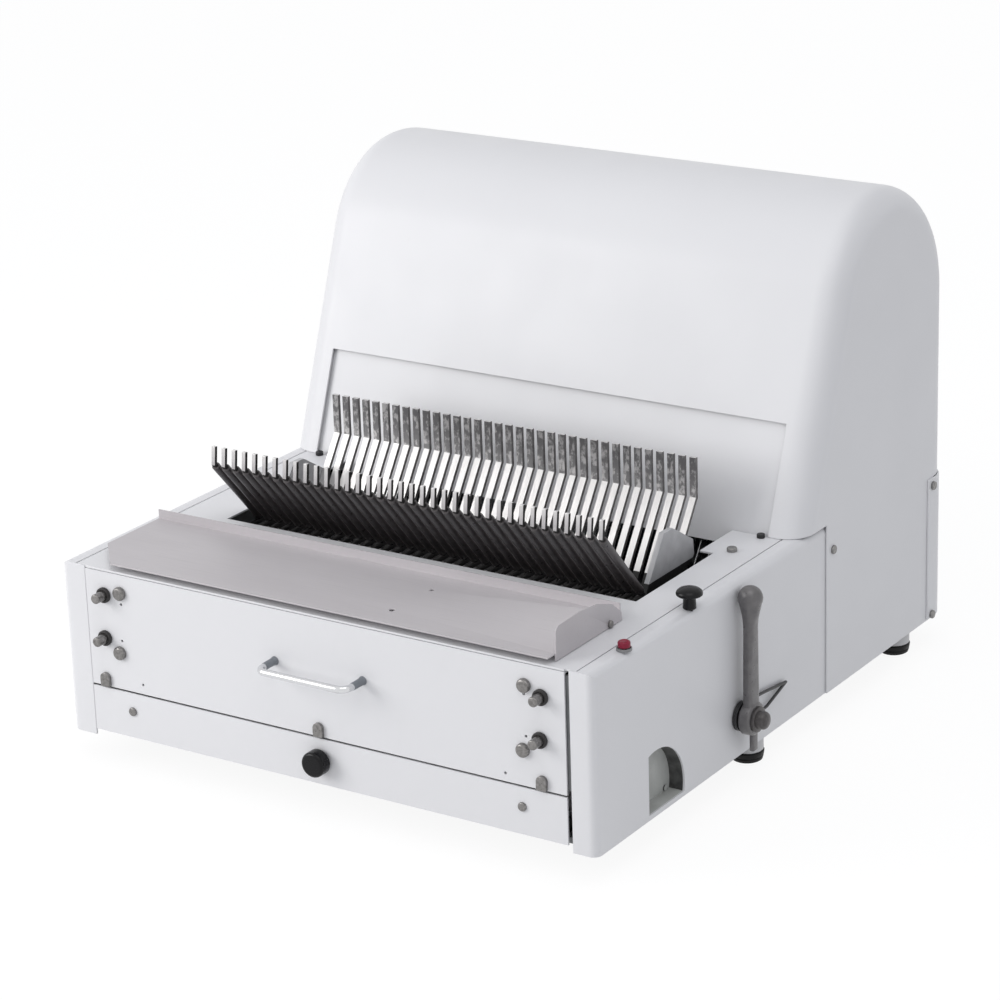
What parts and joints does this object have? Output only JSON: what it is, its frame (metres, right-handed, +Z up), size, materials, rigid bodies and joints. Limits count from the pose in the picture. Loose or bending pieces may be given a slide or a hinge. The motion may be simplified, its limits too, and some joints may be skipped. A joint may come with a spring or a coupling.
{
  "type": "bread slicer",
  "caption": "Countertop bread slicer: white enamelled case with a tall rounded hood, two steel combs that hold the loaf, reciprocating blades, a side lever and a bagging tray.",
  "frame": {"origin": "on the surface that the feet stand on, under the middle of the whole box", "axes": "-Y towards the operator, +X to the operator's right, +Z up"},
  "size_m": [0.6608, 0.7566, 0.523],
  "materials": {
    "white_enamel": "smooth glossy white enamel on sheet steel",
    "tray_steel": "brushed stainless sheet",
    "comb_steel": "satin stainless bar",
    "blade_steel": "ground blade steel",
    "plated_steel": "bright zinc plated screws and bolts",
    "wire_chrome": "polished chrome wire",
    "cast_grey": "grey cast metal with a fine cast skin",
    "cheek_grey": "mid grey paint on cast metal",
    "frame_steel": "grey painted steel plate",
    "bronze": "oiled bearing bronze",
    "black_rubber": "matt black rubber",
    "black_plastic": "black phenolic moulding",
    "red_plastic": "red moulded plastic",
    "grey_plastic": "grey moulded plastic",
    "white_plastic": "white nylon",
    "motor_paint": "dark grey machine paint"
  },
  "bodies": {
    "machine": {"base_pan": "frame_steel", "left_side_frame": "frame_steel", "right_side_frame": "frame_steel", "cross_ties": "frame_steel", "left_cover": "white_enamel", "right_cover": "white_enamel", "recess_liner": "white_enamel", "front_panel": "white_enamel", "panel_bolts": "plated_steel", "bolt_collars": "black_rubber", "seam_pins": "plated_steel", "wire_handle": "wire_chrome", "deck_plate": "white_enamel", "deck_bolts": "plated_steel", "bagging_tray": "tray_steel", "tray_screw": "plated_steel", "hood": "white_enamel", "hood_screws": "plated_steel", "back_panel": "white_enamel", "back_panel_screws": "plated_steel", "guard_rails": "frame_steel", "cradle_bearings": "bronze", "guide_rods": "plated_steel", "guide_brackets": "frame_steel", "crank_bearings": "bronze", "motor": "motor_paint", "motor_mount": "frame_steel", "drawer_runners": "frame_steel", "button_base": "grey_plastic", "knob_bush": "bronze", "control_switches": "black_plastic", "foot_spacers": "white_plastic", "rubber_feet": "black_rubber", "cord_gland": "black_plastic", "drive_belt": "black_rubber"},
    "cradle": {"cradle_shaft": "plated_steel", "cradle_arms": "cheek_grey", "comb_root_bar": "frame_steel", "rear_comb": "comb_steel", "front_comb": "comb_steel", "comb_sleeves": "black_rubber", "lever": "cast_grey", "lever_hub_nut": "cast_grey"},
    "catch": {"lever_catch": "cast_grey"},
    "guard": {"guard": "white_enamel"},
    "front_frame": {"front_blade_frame": "frame_steel", "front_blades": "blade_steel", "front_frame_rods": "frame_steel"},
    "rear_frame": {"rear_blade_frame": "frame_steel", "rear_blades": "blade_steel", "rear_frame_rods": "frame_steel"},
    "crank": {"crank_shaft": "plated_steel", "drive_pulley": "cast_grey"},
    "motor_rotor": {"motor_shaft": "plated_steel", "motor_pulley": "cast_grey"},
    "drawer": {"crumb_drawer": "white_enamel", "drawer_knob": "black_plastic", "drawer_screws": "plated_steel"},
    "stop_button": {"stop_button": "red_plastic"},
    "start_knob": {"start_knob": "black_plastic"}
  },
  "joints": [
    {"name": "cradle_swing", "type": "hinge", "parent": "machine", "child": "cradle", "pos_m": [-0.01265, -0.0798, 0.073], "axis": [-1, 0, 0], "range_deg": [0, 72]},
    {"name": "catch_turn", "type": "hinge", "parent": "cradle", "child": "catch", "pos_m": [0.29935, -0.0798, 0.073], "axis": [-1, 0, 0], "range_deg": [-25, 0]},
    {"name": "guard_lift", "type": "slide", "parent": "machine", "child": "guard", "axis": [0, 0.5736, 0.8192], "range_m": [0, 0.238]},
    {"name": "front_frame_slide", "type": "slide", "parent": "machine", "child": "front_frame", "axis": [0, 0.5736, 0.8192], "range_m": [-0.012, 0.012]},
    {"name": "rear_frame_slide", "type": "slide", "parent": "machine", "child": "rear_frame", "axis": [0, 0.5736, 0.8192], "range_m": [-0.012, 0.012]},
    {"name": "crank_spin", "type": "hinge", "parent": "machine", "child": "crank", "pos_m": [-0.01265, 0.19123, 0.25136], "axis": [1, 0, 0], "continuous": true},
    {"name": "motor_spin", "type": "hinge", "parent": "machine", "child": "motor_rotor", "pos_m": [-0.20265, 0.2972, 0.112], "axis": [1, 0, 0], "continuous": true},
    {"name": "drawer_slide", "type": "slide", "parent": "machine", "child": "drawer", "axis": [0, -1, 0], "range_m": [0, 0.3]},
    {"name": "stop_press", "type": "slide", "parent": "machine", "child": "stop_button", "axis": [0, 0, -1], "range_m": [0, 0.003], "stiffness_N_per_m": 300, "springref_m": -0.002},
    {"name": "knob_pull", "type": "slide", "parent": "machine", "child": "start_knob", "axis": [0, 0, 1], "range_m": [0, 0.012], "stiffness_N_per_m": 300, "springref_m": -0.003}
  ],
  "couplings": [
    {"joint": "guard_lift", "follows": "cradle_swing", "m_per_rad": 0.18939},
    {"joint": "rear_frame_slide", "follows": "front_frame_slide", "ratio": -1},
    {"joint": "motor_spin", "follows": "crank_spin", "ratio": 2.1111}
  ]
}
